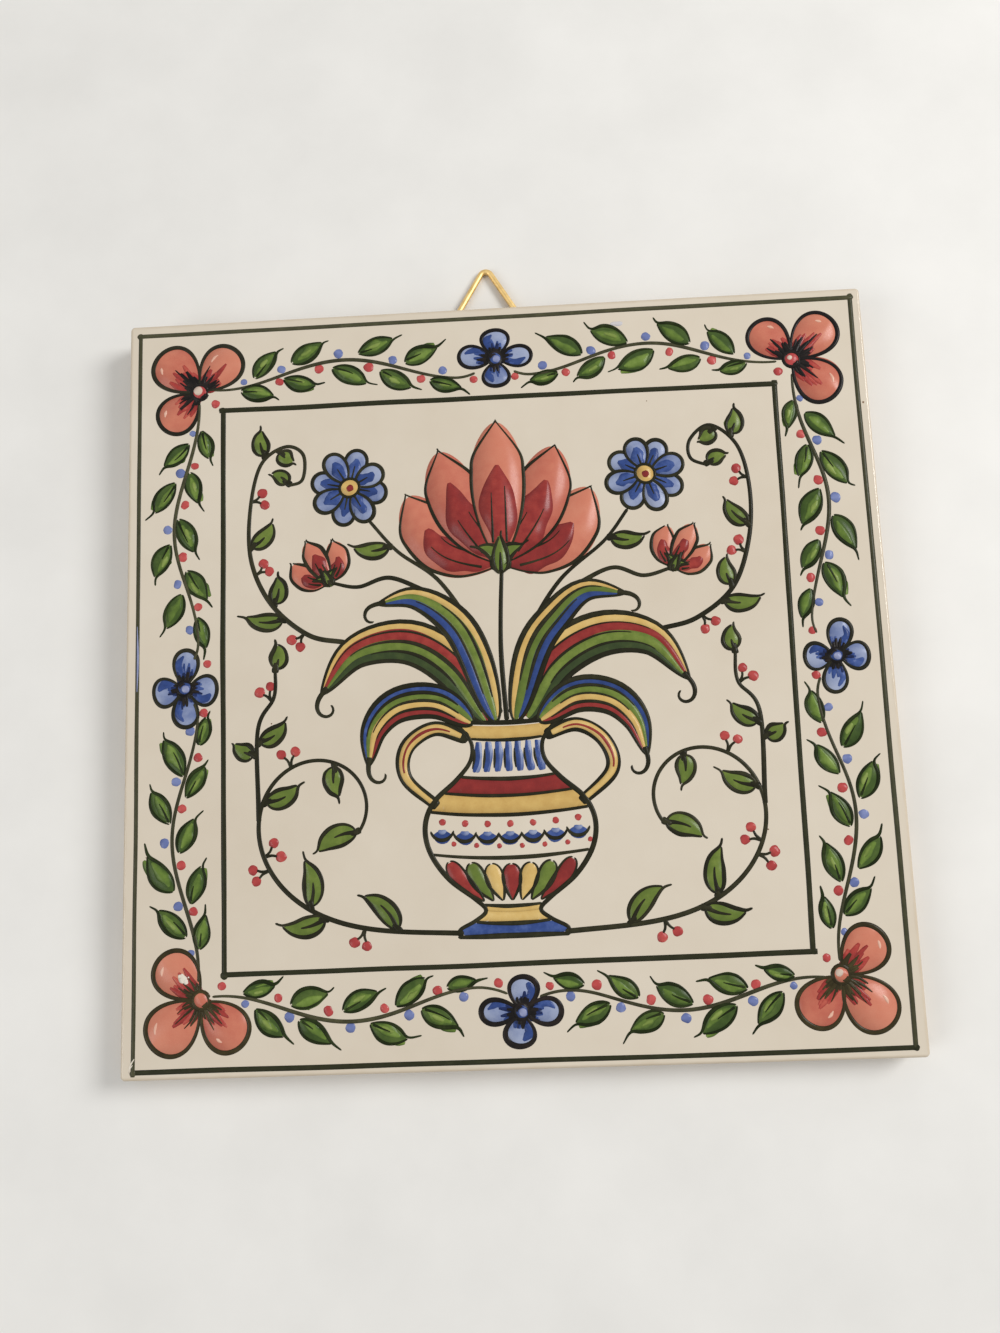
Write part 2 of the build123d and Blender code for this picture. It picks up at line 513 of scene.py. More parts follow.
def ruled_line(coat, first, last, width):
    """A line drawn along a ruler by hand: nearly straight, square at its ends and of uneven pressure."""
    path = even(np.array([first, last], float), 0.9)
    path += left_of(path) * waver(np.linspace(0, 1, len(path)), 0.06, 5)[:, None]
    path = np.vstack([path[0], path[0] * 0.95 + path[1] * 0.05, path[1:-1],
                      path[-1] * 0.95 + path[-2] * 0.05, path[-1]])
    mark(coat, path, lambda s: width / 2 * (1 + waver(s, 0.05, 9)), blunt=False, rough=0.03)


def ruled_square(corners, widths, coats_used):
    """Four ruled lines, each running a little past the corner, where the brush leaves a small blob."""
    corners = np.asarray(corners, float)
    for k in range(4):
        first, last = corners[k], corners[(k + 1) % 4]
        way = (last - first) / np.hypot(*(last - first))
        past = widths[(k + 1) % 4] / 2
        last_shown = last + way * (past + chance.uniform(0.0, 0.3))
        ruled_line(coats_used[k], first - way * widths[k - 1] / 2, last_shown, widths[k])
        spot(coats_used[k], last + way * 0.1, widths[k] * chance.uniform(0.55, 0.75), top=line_top)


# Each corner flower's centre, petals as direction, length and width, coats of its edges and rays, the
# direction of its light, its bead's coat, the radius of the bead's pale spot and the breadth of the rays
corner_flowers = (
    ((-60.5, 60.2), ((134, 11.9, 9.2), (49, 11.5, 8.5), (225, 10.6, 8.0)),
     "flower_edge", "flower_line", 180, "dots_red", 0.95, 1.1),
    ((60.7, 60.7), ((45, 11.8, 8.7), (133, 10.5, 7.9), (-44, 11.4, 9.0)),
     "flower_line", "flower_line", 70, "dots_red", 0.5, 1.3),
    ((60.5, -60.1), ((-48, 12.5, 9.3), (44, 10.8, 8.4), (231, 11.0, 8.5)),
     "olive_line", "olive_line", 5, "coral", 0.75, 1.0),
    ((-59.8, -61.0), ((222, 12.5, 9.5), (134, 11.2, 8.6), (-47, 11.4, 8.7)),
     "olive_line", "olive_line", 190, "coral", 0, 0.8),
)

# Each middle flower's centre, width and height, the coat of its edges and how broad they are
middle_flowers = (
    ((0.7, 64.2), 15.0, 12.0, "flower_line", 0.72),
    ((0.9, -64.9), 15.0, 12.4, "flower_line", 0.92),
    ((-63.3, -1.3), 12.6, 15.6, "flower_edge", 0.72),
    ((64.6, -0.2), 12.3, 14.7, "flower_edge", 0.72),
)

# Red dots beside the flowers
loose_dots = ((-57.2, 57.5), (57.8, 58.2), (-55.8, -58.5), (58.0, -57.0), (-3.9, 59.9), (4.6, 60.1),
              (60.4, 4.9), (60.4, -3.9), (-3.3, -59.6), (6.3, -60.4), (-58.8, 3.4), (-59.4, -6.3))


def paint_border():
    """Both ruled squares, the vines between the flowers, and the flowers and dots."""
    ruled_square(outer_corners, outer_widths, ["frame_line"] + ["outer_line"] * 3)
    ruled_square(inner_corners, inner_widths, ["frame_line"] * 4)
    for side in ("top", "right", "bottom", "left"):
        for half in (-1, 1):
            half_side(side, half)
    for flower in corner_flowers:
        corner_flower(*flower)
    for place in loose_dots:
        spot("dots_red", place, chance.uniform(0.78, 0.92))
    for flower in middle_flowers:
        middle_flower(*flower)


def wear_and_pale_patch():
    """A small near-white patch of dabs in a petal, and what the kiln and the years left: a blue smear on
    the frame line and a faint one by a leaf, a forked scratch at a corner and a few brown specks."""
    smear = through([(-72.95, 12.0), (-72.75, 5.0), (-72.85, -2.0)])
    mark("haze", smear, swell(0.12, 0.4), top=line_top + 0.004)
    faint_smear = through([(24.2, 70.2), (25.8, 70.4), (27.4, 70.2)])
    mark("faint_haze", faint_smear, swell(0.3, 1.1), top=wash_top, rough=0.2)
    over = line_top + 0.008
    # A small near-white patch of five dabs in the lower left flower's petal, in the scratch's pale coat
    for aside, up, radius in ((0.0, 0.0, 0.8), (0.6, -0.5, 0.5), (-0.5, 0.5, 0.42), (-0.1, 0.75, 0.3),
                              (1.1, 0.3, 0.16)):
        spot("bare", (-63.3 + aside, -57.0 + up), radius, top=over)
    mark("bare", through([(-73.5, -74.0), (-73.3, -72.6), (-72.2, -70.9)]), swell(0.12, 0.3), top=over)
    mark("bare", through([(-73.4, -73.2), (-72.9, -72.5), (-72.6, -72.3)]), swell(0.1, 0.24), top=over)
    for x, y, radius in ((74.2, 50.8, 0.22), (49.0, -33.0, 0.16), (-46.0, -9.0, 0.15),
                         (-70.6, -34.0, 0.12), (31.0, 53.4, 0.11)):
        spot("speck", (x, y), radius)


# Middle picture: a vase of flowers between leafy scrolls, drawn once for each side

# The vase: heights and half widths of its outline, how far its level lines sag as a share of its half
# width, its bands from height to height, the heights and widths of its lines, its lobes and a handle
vase_outline = [(-51.0, 10.4), (-49.6, 10.2), (-48.0, 7.2), (-46.2, 5.2), (-44.0, 7.2), (-40.0, 12.2),
                (-35.0, 15.6), (-30.0, 16.4), (-25.5, 14.6), (-21.5, 10.2), (-18.0, 7.3), (-14.5, 6.9),
                (-11.6, 8.8), (-10.2, 10.6)]
vase_sag = 0.07
vase_bands = (("blue_deep", -50.5, -48.4), ("yellow", -48.0, -46.2), ("yellow", -46.3, -45.2),
              ("yellow", -27.2, -23.9), ("dark_red", -23.8, -20.9), ("yellow", -13.4, -10.6))
vase_lines = ((-48.2, 0.8), (-45.1, 0.75), (-35.4, 0.8), (-27.3, 0.8), (-23.8, 0.7), (-20.8, 0.8),
              (-13.5, 0.7))
vase_lobes = ("dark_red", "leaf_flat", "yellow", "dark_red", "yellow", "leaf_flat", "dark_red")
vase_handle = [(7.2, -13.6), (13.5, -11.4), (19.2, -14.6), (20.0, -20.6), (13.6, -26.6)]

# Flame petals: each one's share of the flower's spread, its bow and the layer it lies in
lotus_petals = ((-1.0, -0.3, 0), (1.0, 0.3, 0), (-0.5, -0.12, 1), (0.5, 0.12, 1), (0.0, 0.0, 2))
bud_petals = ((-1.0, -0.3, 0), (1.0, 0.3, 0), (0.0, 0.0, 1))


def mirrored(points, hand, loose):
    """The points, on the other side of the upright middle line when hand is -1, all but the ends a
    little moved."""
    points = np.array(points, float) * (hand, 1)
    points[1:-1] += chance.normal(0, 1, points[1:-1].shape) * loose
    return points


def place_on(path, share, turn):
    """A point at a share of a path's length, and the direction turned from the path's own by so many
    degrees."""
    k = int(share * (len(path) - 2))
    angle = atan2(*(path[k + 1] - path[k])[::-1]) + radians(turn)
    return path[k], np.array([cos(angle), sin(angle)])


def bold_leaf(base, tip, width, bow, lift=0.0):
    """A leaf in one flat green, a little off its heavy edges, with a half midrib from the foot."""
    run = tip - base
    side = quarter_turn(run) * bow
    spine = through([base, base + run * 0.35 + side, base + run * 0.7 + side, tip], 0.4)
    sharp = chance.uniform(0.85, 1.05)
    full, wash = leafy(width, 0.6, sharp), leafy(width + under_line, 0.6, sharp)
    mark("leaf_flat", spine + chance.normal(0, 0.12, 2), wash, top=wash_top + lift, blunt=False)
    tailed = chance.choice([-1, 1])
    for hand in (1, -1):
        tail = np.hypot(*run) * chance.uniform(0.14, 0.26) if hand == tailed else 0.0
        heavy = chance.uniform(0.68, 0.92)
        leaf_edge(spine, full, hand, tail, "bold_line", 0.38, heavy, line_top + lift)
    rib = part(spine, 0.0, chance.uniform(0.5, 0.7))
    mark("bold_line", rib, taper(0.95, 0.2), top=line_top + lift)


def leaf_on(stem, share, turn, length, width):
    """A leaf set on a stem, where a short black wedge joins them."""
    foot, way = place_on(stem, share, turn)
    length *= chance.uniform(0.93, 1.07)
    mark("bold_line", even(np.array([foot - way * 0.3, foot + way * 2.2]), 0.3), taper(1.7, 0.5))
    bold_leaf(foot + way * 0.8, foot + way * (length + 0.8), width, 0.1 if turn > 0 else -0.1)


def berries_on(stem, share, turn, reach):
    """Two berries on bent twigs beside a stem."""
    for opening in (-26, 24):
        foot, way = place_on(stem, share, turn + opening + chance.normal(0, 4))
        side = quarter_turn(way) * np.sign(opening) * 0.3
        twig = through([foot, foot + way * reach * 0.55 - side, foot + way * reach], fine_step)
        mark("bold_line", twig, taper(0.62, 0.42))
        spot("berries", foot + way * (reach + 0.5), chance.uniform(0.9, 1.1))


def grow_on(stem, hand, leaves, twigs, reach):
    """Leaves and then berries on a stem: each leaf has its share of the stem's length, its turn,
    length and width, and each pair of berries its share and turn."""
    for share, turn, length, width in leaves:
        leaf_on(stem, share, hand * turn, length, width)
    for share, turn in twigs:
        berries_on(stem, share, hand * turn, reach)


def stem(path, thick=1.0, thin=0.66):
    """A bold line that thins along its length."""
    mark("bold_line", path, taper(thick, thin), rough=0.05)
    return path


def scroll(start, heading, turn_first, turn_last, length, hand):
    """A scroll of the right side, or its mirror image, with a slow waver."""
    start = np.array(start) + chance.normal(0, 0.3, 2)
    path = swirl(start, heading, turn_first, turn_last, length) * (hand, 1)
    path += left_of(path) * waver(np.linspace(0, 1, len(path)), 0.1)[:, None]
    return stem(path)


def striped(spine, full, hand, colours, lift):
    """Stripes of colour side by side along a spine, each of its own length, and thin lines between
    them."""
    normal = left_of(spine) * hand
    half = full(np.linspace(0, 1, len(spine)))
    each = 2 / len(colours)
    for k, coat in enumerate(colours):
        middle = spine + normal * (half * (1 - each * (k + 0.5)))[:, None]
        ends = chance.uniform(0.0, 0.02), chance.uniform(0.98, 1.0)
        wide = part(half * each * 0.62, *ends)
        top = wash_top + k * 0.002 + lift
        mark(coat, part(middle, *ends), lambda _, wide=wide: wide, top=top, rough=0.14)
        if k:
            edge = spine + normal * (half * (1 - each * k))[:, None]
            line = part(edge, chance.uniform(0.03, 0.2), chance.uniform(0.7, 0.92))[::2]
            mark("bold_line", line, swell(0.2, chance.uniform(0.4, 1.0), 0.4), top=line_top + lift)


def frond(points, width, hand, colours, curl, layer):
    """An arched leaf in stripes that ends in a thin curl. A leaf in front lies a layer higher."""
    lift = layer * layer_rise
    spine = through(mirrored(points, hand, 0.25), 0.5)
    full = leafy(width, 0.5, 0.7)
    striped(spine, full, hand, colours, lift)
    for edge in (1, -1):
        heavy = chance.uniform(0.85, 1.1)
        leaf_edge(spine, full, edge, 0.0, "bold_line", 0.5, heavy, line_top + lift)
    way = spine[-1] - spine[-4]
    heading = np.degrees(atan2(way[1], way[0]))
    curled = np.vstack([spine[-5:-1], swirl(spine[-1], heading, -hand * 8, -hand * 55, curl)])
    mark("bold_line", curled, taper(1.1, 0.36), top=line_top + lift)


def flame(base, angle, length, width, bow, layer):
    """A pointed coral petal with a dark red flame from its foot, thin lines in it and a bold edge. A
    petal in front lies a layer higher, so that it hides the lines behind it."""
    lift = layer * layer_rise
    way = toward(angle)
    side = quarter_turn(way) * bow * length
    tip = base + way * length - side * 0.4
    spine = through([base, base + way * length * 0.5 + side * 0.4, tip], 0.4)
    full = leafy(width, *flame_ends)
    wash = leafy(width + under_line * 1.5, *flame_ends)
    mark("coral", spine + chance.normal(0, 0.08, 2), wash, top=wash_top + lift, blunt=False, rough=0.02)
    heart = spine[1:int(len(spine) * chance.uniform(0.66, 0.78))]
    mark("dark_red", heart, leafy(width * 0.62, 0.8, 0.8), top=tone_top + lift, blunt=False, rough=0.2)
    for hand in (1, -1):
        heavy, tail = chance.uniform(0.62, 0.8), chance.uniform(0.0, 0.8)
        leaf_edge(spine, full, hand, tail, "bold_line", 0.3, heavy, front_line_top + lift)
    for aside in (-0.13, 0.13):
        line = part(spine + left_of(spine) * width * aside, 0.14, chance.uniform(0.45, 0.62))
        mark("bold_line", line, taper(0.55, 0.16), top=front_line_top + lift)


def cup(foot, angle, size, lift):
    """Three small leaves that hold a flower's foot, the middle one in front."""
    for turn in (-50, 50, 0):
        way = toward(angle + turn)
        start, high = foot - way * size * 0.25, lift + (turn == 0) * layer_rise
        bold_leaf(start, foot + way * size * 0.75, size * 0.4, -np.sign(turn) * 0.12, high)


def flame_flower(foot, angle, size, petals, spread, shorter, width, cup_size):
    """Flame petals fanned out from a green cup, the middle one in front. The petals at the sides are the
    shorter ones, and width and cup_size are shares of the flower's size."""
    for share, bow, layer in petals:
        flame(foot, angle + share * spread, size * (1 - shorter * abs(share)), size * width, bow, layer)
    cup(foot, angle, size * cup_size, (len(petals) // 2 + 1) * layer_rise)


def daisy(centre, reach, petals=8):
    """Round blue petals about a yellow eye with a red dot."""
    first = chance.uniform(0, 360)
    for k in range(petals):
        angle = first + 360 * k / petals + chance.normal(0, 2)
        length = reach * chance.uniform(0.94, 1.05)
        lift = k % 2 * layer_rise
        petal(centre, angle, length, reach * 0.58, "lavender", "bold_line", 0.7, 1.2, lift)
        way = toward(angle)
        deep = even(np.array([centre + way * 1.8, centre + way * length * 0.82]), fine_step)
        mark("blue_deep", deep, belly(reach * 0.34, 0.4), top=tone_top + lift, blunt=False, rough=0.2)
        mark("bold_line", part(deep, 0.0, 0.7), taper(0.5, 0.15), top=line_top + lift)
    over = line_top + layer_rise
    spot("yellow", centre, 1.9, top=over + 0.004)
    ring_mark("bold_line", centre, 1.95, 0.6, top=over + 0.008)
    spot("dark_red", centre + (0.1, -0.1), 0.75, top=over + 0.010)


def vase_half_width(height):
    """Half the vase's width at a height, on a smooth curve through its outline."""
    curve = through(vase_outline, 0.3)
    return np.interp(height, curve[:, 0], curve[:, 1])


def sagged(x, height):
    """The height at which a level line of the vase is drawn at x: it sags towards the middle as the
    near side of a round body does, by a share of the half width times one less the squared share of
    it."""
    half = vase_half_width(height)
    return height - vase_sag * half * (1 - np.clip(x / half, -1, 1) ** 2)


def vase_band(coat, low, high):
    """A band of colour across the vase: at each x it fills the heights at which the vase is at least
    that wide."""
    heights = np.linspace(low, high, 60)[:, None]
    wide = vase_half_width(heights) - 0.1
    x = np.sin(np.linspace(-pi / 2, pi / 2, 60)) * (wide.max() - 0.02)
    within = wide >= abs(x)
    lowest = sagged(x, np.where(within, heights, high).min(0))
    highest = sagged(x, np.where(within, heights, low).max(0))
    middle, half = (lowest + highest) / 2, (highest - lowest) / 2
    mark(coat, np.c_[x, middle], lambda _: half, top=wash_top, blunt=False, rough=0.01)


def vase_line(height, thick):
    """A black line across the vase."""
    x = np.linspace(-1, 1, 40) * (vase_half_width(height) - 0.2)
    mark("bold_line", even(np.c_[x, sagged(x, height)]), swell(thick * 0.7, thick), rough=0.08)


def vase_lobe(k, coat):
    """One of seven coloured lobes round the bowl: the outer ones lean, and the middle one sags most."""
    share = (k - 3) / 3.5
    heights = np.linspace(-44.6, -36.6, 24) - (1 - share**2) * np.linspace(0, 1, 24)
    leaned = np.c_[share * vase_half_width(heights) * 0.95, heights]
    full = leafy(3.5 - 0.5 * abs(share), 1.0, 0.5)
    mark(coat, leaned, full, top=wash_top, blunt=False)
    for edge in (1, -1):
        leaf_edge(leaned, full, edge, 0.0, "bold_line", 0.3, 0.6)


def vase_scallop(k):
    """A blue scallop on the white band, with a red dot over it and a smaller one low beside it."""
    x, y = k * 4.35, -31.4 - (1 - (k / 3.5) ** 2)
    mark("blue_deep", arc((x, y + 1.0), 1.5, 200, 340), swell(1.2, 2.6), top=wash_top)
    mark("lavender", arc((x, y + 1.3), 0.9, 210, 330), swell(0.5, 0.9), top=tone_top)
    mark("bold_line", arc((x, y + 1.2), 2.3, 190, 350), swell(0.4, 0.75))
    spot("berries", (x + 0.1, y + 2.3), 0.65)
    spot("berries", (x + 2.2, y - 1.9), 0.5)


def neck_stroke(k):
    """An upright stroke on the neck: pale blue, deep blue over it and a thin line beside it."""
    x = k * 1.95
    stroke = through([(x * 1.12, -20.3), (x, -17.2), (x * 0.98, -14.0)], fine_step)
    mark("lavender", stroke + (0.35, 0), swell(0.9, 1.5, 0.4), top=wash_top, rough=0.15)
    mark("blue_deep", stroke, swell(0.6, 1.1, 0.4), top=tone_top, rough=0.15)
    mark("bold_line", stroke[2:-4] - (0.5, 0), swell(0.2, 0.5))


def vase_side(hand):
    """The vase's outline on one side, and its handle in yellow and red on black."""
    curve = through(vase_outline)
    edge = np.c_[curve[:, 1] * hand, curve[:, 0]] + chance.normal(0, 0.08, 2)
    mark("bold_line", edge, swell(0.7, 1.05), rough=0.07)
    grip = through(mirrored(vase_handle, hand, 0.2))
    mark("bold_line", grip, swell(2.2, 3.0, 0.4), top=shade_top)
    mark("yellow", grip[3:-3], swell(1.0, 1.7, 0.4), rough=0.1)
    mark("dark_red", grip[8:-20], swell(0.3, 0.6), top=line_top + 0.006, rough=0.2)


def vase():
    """A footed vase: blue foot, bowl of coloured lobes, white band of scallops, and neck of strokes."""
    for band in vase_bands:
        vase_band(*band)
    for k, coat in enumerate(vase_lobes):
        vase_lobe(k, coat)
    for k in range(-3, 4):
        vase_scallop(k)
    for k in range(-3, 4):
        neck_stroke(k)
    for line in vase_lines:
        vase_line(*line)
    for hand in (1, -1):
        vase_side(hand)
    rim = np.c_[np.linspace(-10.4, 10.4, 40), -10.2 - 0.4 * np.cos(np.linspace(-pi / 2, pi / 2, 40))]
    mark("bold_line", rim, swell(0.7, 1.0))
    ground = np.c_[np.linspace(-10.8, 10.8, 40), np.full(40, -51.0)]
    mark("bold_line", ground, swell(0.7, 1.1))


def bouquet(hand):
    """One side of the bouquet: stems from the vase's mouth, striped fronds, a daisy and a bud."""
    frond([(3.6, -10.4), (9.5, 0.5), (19.0, 6.2), (29.4, 4.6), (36.0, -3.6)], 8.4, hand,
          ("yellow", "dark_red", "leaf_flat", "dark_green"), 9.0, 0)
    frond([(6.4, -10.5), (13.4, -6.0), (20.6, -6.4), (25.4, -11.0), (27.0, -18.0)], 6.4, hand,
          ("blue_deep", "leaf_flat", "yellow", "dark_red"), 7.0, 1)
    frond([(1.9, -10.4), (5.8, 3.0), (10.4, 10.4), (17.0, 14.8), (24.6, 14.0)], 6.0, hand,
          ("yellow", "leaf_flat", "blue_deep"), 6.5, 1)
    route = [(0.9, -9.0), (4.6, 6.0), (11.8, 17.0), (20.8, 24.6), (26.0, 31.2)]
    tall = stem(through(mirrored(route, hand, 0.3)))
    daisy(tall[-1] + np.array([hand * 3.8, 7.0]), 7.8)
    leaf_on(tall, 0.86, -hand * 46, 6.6, 3.2)
    route = [(14.5, 16.0), (21.9, 19.2), (28.2, 17.4), (34.2, 18.8)]
    short = stem(through(mirrored(route, hand, 0.2)))
    lean = 90 - hand * 28
    flame_flower(short[-1], lean, 9.6, bud_petals, spread=40, shorter=0.12, width=0.46, cup_size=0.4)


def side_scroll(hand):
    """A scroll that springs from the broad frond, climbs the side and rolls up in the top corner."""
    route = [(31.0, 6.5), (38.4, 8.4), (45.6, 14.5), (49.6, 24.0), (50.2, 34.0), (48.2, 43.2),
             (42.8, 47.8), (39.0, 45.4), (39.2, 40.8), (42.6, 39.2)]
    leaves = ((0.2, -36, 7.6, 3.3), (0.255, 44, 5.6, 3.3), (0.45, 46, 6.2, 3.3), (0.74, -50, 5.8, 3.3),
              (0.79, 62, 3.6, 3.3), (0.995, 42, 4.2, 2.9))
    tall = stem(through(mirrored(route, hand, 0.25)))
    grow_on(tall, hand, leaves, ((0.13, -84), (0.37, 72), (0.6, 70)), 2.4)


def lower_scroll(hand):
    """A scroll from the vase's foot along the bottom, up the side and in on itself, with a branch
    that climbs on."""
    low = scroll((9.5, -50.4), heading=3, turn_first=-0.4, turn_last=7.3, length=89, hand=hand)
    leaves = ((0.14, 40, 9.5, 3.6), (0.3, -30, 8.0, 3.6), (0.34, 52, 8.5, 3.6), (0.62, 44, 7.5, 3.6),
              (0.82, 62, 6.0, 3.6), (0.995, 30, 8.0, 4.0))
    grow_on(low, hand, leaves, ((0.22, -80), (0.47, -76), (0.5, 82), (0.72, -76)), 2.8)
    foot, _ = place_on(low * (hand, 1), 0.575, 0)
    branch = stem(through(mirrored([foot, (48.8, -10.5), (45.4, -4.0), (45.2, 2.0)], hand, 0.2)))
    leaves = ((0.42, -58, 4.3, 3.3), (0.5, 50, 6.4, 3.3), (0.99, 4, 5.0, 3.3))
    grow_on(branch, hand, leaves, ((0.8, -60),), 2.6)


def paint_middle():
    """Both sides of the scrolls and the bouquet, and over them the open flower and the vase."""
    for hand in (1, -1):
        lower_scroll(hand)
        side_scroll(hand)
        bouquet(hand)
    stem(through([(0.2, -10.4), (-0.4, 4.0), (0.3, 20.0)]), 1.0, 0.8)
    foot = np.array([0.2, 21.0])
    flame_flower(foot, 90, 29.5, lotus_petals, spread=58, shorter=0.2, width=0.36, cup_size=0.26)
    vase()


# Finishes

def srgb(*levels):
    """A colour written as 0 to 255 on a screen, turned to light."""
    c = np.array(levels) / 255
    return (*np.where(c <= 0.04045, c / 12.92, ((c + 0.055) / 1.055) ** 2.4), 1.0)


class Finish:
    """A material and short ways to add its nodes."""

    def __init__(self, name, roughness, **sockets):
        self.material = bpy.data.materials.new(name)
        self.material.use_nodes = True
        self.nodes = self.material.node_tree.nodes
        self.links = self.material.node_tree.links
        self.shader = self.nodes["Principled BSDF"]
        self.shader.inputs["Roughness"].default_value = roughness
        for socket, value in sockets.items():
            self.shader.inputs[socket.replace("_", " ")].default_value = value
        self.place = self.nodes.new("ShaderNodeTexCoord").outputs["Object"]

    def feed(self, socket, value):
        """Sets a socket to a number or a colour, or joins another node's output to it."""
        if isinstance(value, (int, float, tuple)):
            socket.default_value = value
        else:
            self.links.new(value, socket)

    def add(self, kind, **sockets):
        """A node whose sockets are fed by name."""
        node = self.nodes.new("ShaderNode" + kind)
        for name, value in sockets.items():
            self.feed(node.inputs[name.replace("_", " ")], value)
        return node

    def noise(self, scale, detail=3.0):
        """Soft noise of so many waves a metre on the piece's own coordinates."""
        node = self.add("TexNoise", Scale=scale, Detail=detail, Roughness=0.55, Vector=self.place)
        return node.outputs["Fac"]

    def sum(self, kind, a, b):
        """Arithmetic of the named kind on two values or numbers."""
        node = self.add("Math")
        node.operation = kind
        self.feed(node.inputs[0], a)
        self.feed(node.inputs[1], b)
        return node.outputs[0]

    def blend(self, a, share, b):
        """So much of one value, and the rest of the other."""
        return self.sum("ADD", self.sum("MULTIPLY", a, share), self.sum("MULTIPLY", b, 1 - share))

    def span(self, value, low, high, to_low=0.0, to_high=1.0):
        """A value carried from one span of numbers to another, and held at its ends."""
        spans = dict(From_Min=low, From_Max=high, To_Min=to_low, To_Max=to_high)
        return self.add("MapRange", Value=value, **spans).outputs["Result"]

    def ramp(self, value, *stops):
        """Colours, written as 0 to 255, at the given values and blended between them."""
        node = self.add("ValToRGB", Fac=value)
        elements = node.color_ramp.elements
        while len(elements) < len(stops):
            elements.new(0.5)
        for element, (at, colour) in zip(elements, stops):
            element.position = at
            element.color = srgb(*colour)
        return node.outputs["Color"]

    def mix(self, share, a, b):
        """One colour blended into another by a share."""
        node = self.add("Mix")
        node.data_type = "RGBA"
        for name, value in (("Factor_Float", share), ("A_Color", a), ("B_Color", b)):
            self.feed(next(s for s in node.inputs if s.identifier == name), value)
        return next(s for s in node.outputs if s.identifier == "Result_Color")

    def brush(self):
        """How far along the mark, how far across it, and how much colour the brush held."""
        held = self.add("Attribute")
        held.attribute_name = "brush"
        return self.add("SeparateXYZ", Vector=held.outputs["Vector"]).outputs

    def apart(self):
        """The piece's own x, y and z."""
        return self.add("SeparateXYZ", Vector=self.place).outputs

    def colour(self, value):
        self.links.new(value, self.shader.inputs["Base Color"])

    def roughness(self, value):
        self.links.new(value, self.shader.inputs["Roughness"])

    def bump(self, height, strength, depth):
        """Fine relief in the shading, of a depth in metres."""
        node = self.add("Bump", Strength=strength, Distance=depth, Height=height)
        self.links.new(node.outputs["Normal"], self.shader.inputs["Normal"])


def painted(name, thin, full, deep, uneven=0.5, pool=0.2, foot=0.0, gloss=0.2):
    """Glaze colour laid by brush: thinner and deeper where the brush's load and a noise of strength
    uneven say, deeper by pool at the mark's edges, and deeper by foot where the mark begins."""
    finish = Finish(name, 0.24, Specular_IOR_Level=gloss)
    along, across, load = finish.brush()
    edge = finish.sum("POWER", finish.sum("ABSOLUTE", across, 0.0), 3.0)
    clouds = finish.noise(500.0)
    fine = finish.noise(2500.0, 2.0)
    depth = finish.span(finish.blend(clouds, 0.8, fine), 0.0, 1.0, 0.5 - uneven, 0.5 + uneven)
    depth = finish.sum("ADD", depth, finish.sum("MULTIPLY", edge, pool))
    depth = finish.sum("ADD", depth, finish.span(load, 0, 1, -0.14, 0.14))
    if foot:
        depth = finish.sum("ADD", depth, finish.span(along, 0.15, 0.75, foot, 0.0))
    finish.colour(finish.ramp(depth, (0.2, thin), (0.5, full), (0.9, deep)))
    finish.roughness(finish.span(fine, 0.2, 0.8, 0.18, 0.34))
    finish.bump(fine, 0.1, 0.00004)
    return finish.material


# The glaze, in metres: the band at the tile's edge over which it runs thin, how ragged that band is, the
# heights between which it ends, as shares of the face's, and how ragged that line is
glaze_thins = (0.0008, 0.0001)
thin_ragged = 0.0003
glaze_ends = (0.36, 0.4)
end_ragged = 0.0011


def glazed_clay():
    """Cream glaze over the face and edges, thin and buff at the rim, and bare clay below its ragged
    lower line."""
    finish = Finish("cream_glaze_on_clay", 0.14, Specular_IOR_Level=0.4)
    x, y, z = finish.apart()
    broad = finish.noise(14.0, 2.0)
    cloud = finish.noise(90.0, 4.0)
    fine = finish.noise(1400.0, 3.0)
    cream = finish.ramp(finish.blend(broad, 0.6, cloud),
                        (0.3, (207, 194, 174)), (0.5, (212, 200, 181)), (0.72, (217, 206, 188)))
    far = finish.sum("MAXIMUM", finish.sum("ABSOLUTE", x, 0.0), finish.sum("ABSOLUTE", y, 0.0))
    ragged = finish.sum("ADD", far, finish.span(finish.noise(260.0), 0.0, 1.0, -thin_ragged, thin_ragged))
    thin_rim = finish.span(ragged, tile_high.x - glaze_thins[0], tile_high.x - glaze_thins[1])
    rim = finish.mix(thin_rim, cream, srgb(196, 180, 156))
    clay = finish.ramp(finish.blend(fine, 0.5, cloud),
                       (0.3, (188, 160, 128)), (0.55, (204, 178, 146)), (0.8, (216, 194, 164)))
    line = finish.sum("ADD", z, finish.span(finish.noise(120.0, 4.0), 0.0, 1.0, -end_ragged, end_ragged))
    glazed = finish.span(line, face_height * glaze_ends[0], face_height * glaze_ends[1])
    finish.colour(finish.mix(glazed, clay, rim))
    finish.roughness(finish.span(glazed, 0, 1, 0.86, 0.13))
    waves = finish.sum("ADD", finish.noise(60.0, 2.0), finish.sum("MULTIPLY", fine, 0.04))
    finish.bump(waves, 0.25, 0.0003)
    return finish.material


def drawn_brass():
    """Brass wire, finely specked and dulled in patches."""
    finish = Finish("brass_wire", 0.4, Metallic=1.0)
    patches = finish.noise(420.0, 4.0)
    specks = finish.noise(3200.0, 3.0)
    tone = finish.blend(patches, 0.7, specks)
    brass = finish.ramp(tone, (0.3, (206, 172, 108)), (0.5, (230, 198, 134)), (0.75, (242, 218, 162)))
    finish.colour(brass)
    finish.roughness(finish.span(patches, 0.3, 0.7, 0.42, 0.56))
    finish.bump(specks, 0.12, 0.00002)
    return finish.material


